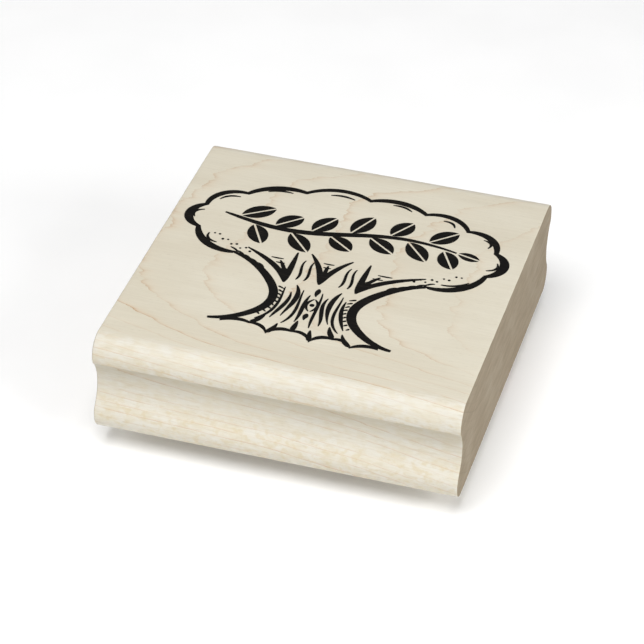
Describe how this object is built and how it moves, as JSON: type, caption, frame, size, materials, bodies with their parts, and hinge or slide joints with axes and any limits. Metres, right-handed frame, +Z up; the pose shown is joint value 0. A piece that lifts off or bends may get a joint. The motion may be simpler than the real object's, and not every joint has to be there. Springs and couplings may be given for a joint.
{
  "type": "rubber stamp",
  "caption": "Wood-mounted rubber stamp: moulded hardwood block with finger coves, printed picture on top, foam cushion and engraved rubber die under it.",
  "frame": {"origin": "under the middle of the block, on the surface that the die's printing face stands on", "axes": "+Z up through the block to its printed top, +X along the block's moulding and grain, -Y towards the user, so that the printed picture reads upright from the front"},
  "size_m": [0.0844, 0.0888, 0.0307],
  "materials": {
    "maple": "matte",
    "print_ink": "matte",
    "adhesive_film": "gloss",
    "foam": "matte",
    "red_rubber": "satin"
  },
  "bodies": {
    "mount": {"wood_block": "maple", "index_print": "print_ink", "block_adhesive": "adhesive_film", "foam_cushion": "foam"},
    "die": {"die_adhesive": "adhesive_film", "rubber_die": "red_rubber"}
  },
  "joints": [
    {"name": "cushion_press", "type": "slide", "parent": "mount", "child": "die", "axis": [0, 0, 1], "range_m": [0, 0.0009], "stiffness_N_per_m": 25000, "deforming": ["foam_cushion"]}
  ]
}
